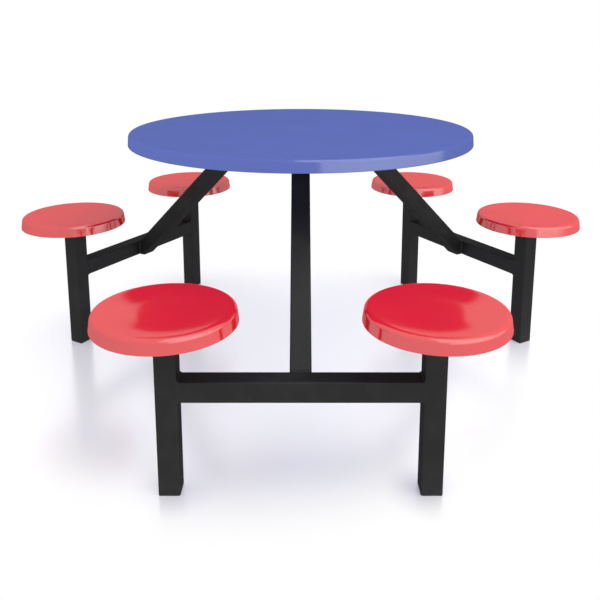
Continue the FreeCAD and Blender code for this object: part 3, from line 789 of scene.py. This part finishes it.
def unitWelds(half, reach, head, lean, railLow, railHigh, plateLow):
    beads = []
    loop, normal = roundedLoop(half, half, tube["corner"], tube["corner"])
    outward = np.column_stack([np.zeros(len(loop)), normal])
    for end in (-1, 1):     # rail to post: corner welds over and under, flush seams on the sides
        across = np.full(len(loop), end * (reach - half))
        path = np.column_stack([across, loop[:, 0], loop[:, 1] + (railLow + railHigh) / 2])
        beads.append(bead(path, (-end, 0, 0), outward, normal[:, 1] ** 2, closed=True))
    for side in (-1, 1):    # strut's sides to the rail
        low, high = ((side * half, half, z) for z in (railLow + tube["corner"], railHigh - tube["corner"]))
        beads.append(bead(straightPath(low, high), (side, 0, 0), (0, 1, 0)))
    up = np.array([0, math.cos(lean), math.sin(lean)])      # along the strut
    width = half - tube["corner"]
    over, below = (straightPath((-width, half, z), (width, half, z)) for z in (railHigh, railLow))
    beads.append(bead(over, (0, -1, 0), up))
    beads.append(bead(below, (0, -1, 0), (0, 0, -1), 0.0))
    slant = 1 / math.sin(lean)
    loop, normal = roundedLoop(half, half * slant, tube["corner"], tube["corner"] * slant)
    path = level(loop + [0, head], plateLow)                # strut to plate
    beads.append(bead(path, level(normal, 0), -up, closed=True))
    return beads


def joined(shapes):
    starts = np.cumsum([0] + [len(points) for points, _ in shapes])
    faces = [[corner + start for corner in face] for start, (_, some) in zip(starts, shapes) for face in some]
    return np.concatenate([points for points, _ in shapes]), faces


def framePiece(name, shape, foot, along, inward):
    # place = foot + x * along + y * inward, z as it is
    points, faces = shape
    places = np.column_stack([foot + points[:, :1] * along + points[:, 1:2] * inward, points[:, 2]])
    return makePiece(name, places, faces, [finishes["frame_paint"]], np.zeros(len(faces)),
                     "frame", recalculate=True)


for unit, (firstSeat, secondSeat) in unitSeats.items():
    # the unit's own axes: x along the rail, y in towards the table, z up, from under the rail's middle
    span = postSpot[secondSeat] - postSpot[firstSeat]
    reach = np.linalg.norm(span) / 2
    along = span / (2 * reach)
    inward = np.array([-along[1], along[0]])
    foot = (postSpot[firstSeat] + postSpot[secondSeat]) / 2
    railLow, railHigh = (corner[2] for corner in lowHigh(f"{unit}_cross_rail"))
    plateLow = lowHigh(f"{unit}_top_plate")[0][2]
    half = (railHigh - railLow) / 2
    head = (middle(f"{unit}_top_plate")[:2] - foot) @ inward
    rise, run = plateLow - railHigh, head - half
    lean = math.atan2(rise, run) + math.asin(half / math.hypot(rise, run))
    strut = strutTube(half, lean, railLow, railHigh, plateLow)
    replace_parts(framePiece(f"{unit}_strutTube", strut, foot, along, inward), f"{unit}_strut")
    beads = unitWelds(half, reach, head, lean, railLow, railHigh, plateLow)
    framePiece(f"{unit}_welds", joined(beads), foot, along, inward)
print("struts and welds:", len(unitSeats), "units of", len(beads), "beads")


# Studio: white room, pale floor that keeps the shadow, soft light

room = {
    "ambient": 0.76,        # light that the white room gives
    "floor": 7.0,           # half width
    "floorColour": rgb(0.96, 0.96, 0.90),
    "floorCloud": rgb(0.95, 0.97, 0.99),
    "floorLift": rgb(0.205, 0.205, 0.255),  # seen by the camera and in reflections only
    "floorMirror": 0.30,
    "floorMatt": 0.6,
    "floorGloss": (0.22, 0.25),
    "clouds": {"scale": 2.2, "detail": 3},
    "cloudEdge": (0.3, 0.7),
    "fade": (0.62, 0.92),   # where the floor runs out into the white, from a spot beside the table's axis
    "fadeBeside": (-0.17, 0.01),
    "frontFade": (0.03, 0.12),              # the same round the front posts
    "sideFade": (0.05, 0.32),               # and round the others
}
lamps = {
    "overhead": {"at": (2.0, -1.8, 3.8), "aim": (0, 0.05, 0.4), "size": (4.5, 4.5),
                 "radiance": 1.5, "mirrored": False, "spread": 180},
    "rimStrip": {"at": (-1.75, -1.35, 0.74), "aim": (-0.25, -0.25, 0.735), "size": (1.8, 0.1),
                 "radiance": 0.8, "mirrored": False, "spread": 14},     # a narrow beam along the table's rim
    "sideCard": {"at": (2.96, -2.36, 1.35), "aim": (-0.14, -0.31, 0.7), "size": (7.2, 2.3),
                 "radiance": 1.1, "mirrored": True, "spread": 180},
    "roofCard": {"at": (4.8, -3.6, 6.7), "aim": (4.8, -2.6, 3.31), "size": (10.0, 9.2),
                 "radiance": 1.1, "mirrored": True, "spread": 180},
}


def seenRays(paint):
    kinds = ("Camera", "Glossy", "Transmission")
    camera, glossy, through = (paint.node("LightPath", {}, {}, f"Is {kind} Ray") for kind in kinds)
    return camera | glossy | through


def roomWhite(paint):
    return seenRays(paint) * (1 - room["ambient"]) + room["ambient"]    # white to the eye, dimmer as a light


def paleFloor(name):
    paint = newPaint(name)
    spot = paint.spot()
    clouds = paint.noise(spot, **room["clouds"])
    colour = paint.tint(clouds, room["floorColour"], room["floorCloud"])
    gloss = paint.step(clouds, *room["cloudEdge"], *room["floorGloss"])
    matt = paint.surface(Base_Color=colour, Roughness=room["floorMatt"], Specular_IOR_Level=0.0)
    sheen = paint.surface(Base_Color=white, Metallic=1.0, Roughness=gloss)
    fade = paint.away(spot, tableAxis + room["fadeBeside"], *room["fade"])
    for seat, place in postSpot.items():
        reach = room["frontFade" if seat in unitSeats["front"] else "sideFade"]
        fade = fade * paint.away(spot, place, *reach)
    glow = paint.node("Emission", {}, {"Color": white, "Strength": roomWhite(paint)})
    lift = paint.node("Emission", {}, {"Color": room["floorLift"], "Strength": seenRays(paint)})
    near = paint.node("AddShader", {}, {0: paint.mixed(room["floorMirror"], matt, sheen), 1: lift})
    return paint.show(paint.mixed(fade, near, glow))


sky = Paint(bpy.data.worlds.new("whiteRoom"))
scene.world = sky.show(sky.node("Background", {}, {"Color": white, "Strength": roomWhite(sky)}))
floorMesh = bpy.data.meshes.new("floor")
quarters = ((-1, -1), (1, -1), (1, 1), (-1, 1))
floorMesh.from_pydata([(x * room["floor"], y * room["floor"], 0) for x, y in quarters], [], [(0, 1, 2, 3)])
floorMesh.materials.append(paleFloor("paleFloor"))
floor = bpy.data.objects.new("floor", floorMesh)
scene.collection.objects.link(floor)

for name, lamp in lamps.items():
    light = bpy.data.lights.new(name, "AREA")
    light.shape = "RECTANGLE"
    light.size, light.size_y = lamp["size"]
    light.spread = math.radians(lamp["spread"])
    light.energy = lamp["radiance"] * math.pi * light.size * light.size_y
    stand = bpy.data.objects.new(name, light)
    stand.location = lamp["at"]
    stand.rotation_euler = (Vector(lamp["aim"]) - Vector(lamp["at"])).to_track_quat("-Z", "Y").to_euler()
    stand.visible_camera = False
    stand.visible_glossy = lamp["mirrored"]
    stand.visible_diffuse = not lamp["mirrored"]    # the cards show in the gloss only
    scene.collection.objects.link(stand)
print("studio: floor and", len(lamps), "lamps")
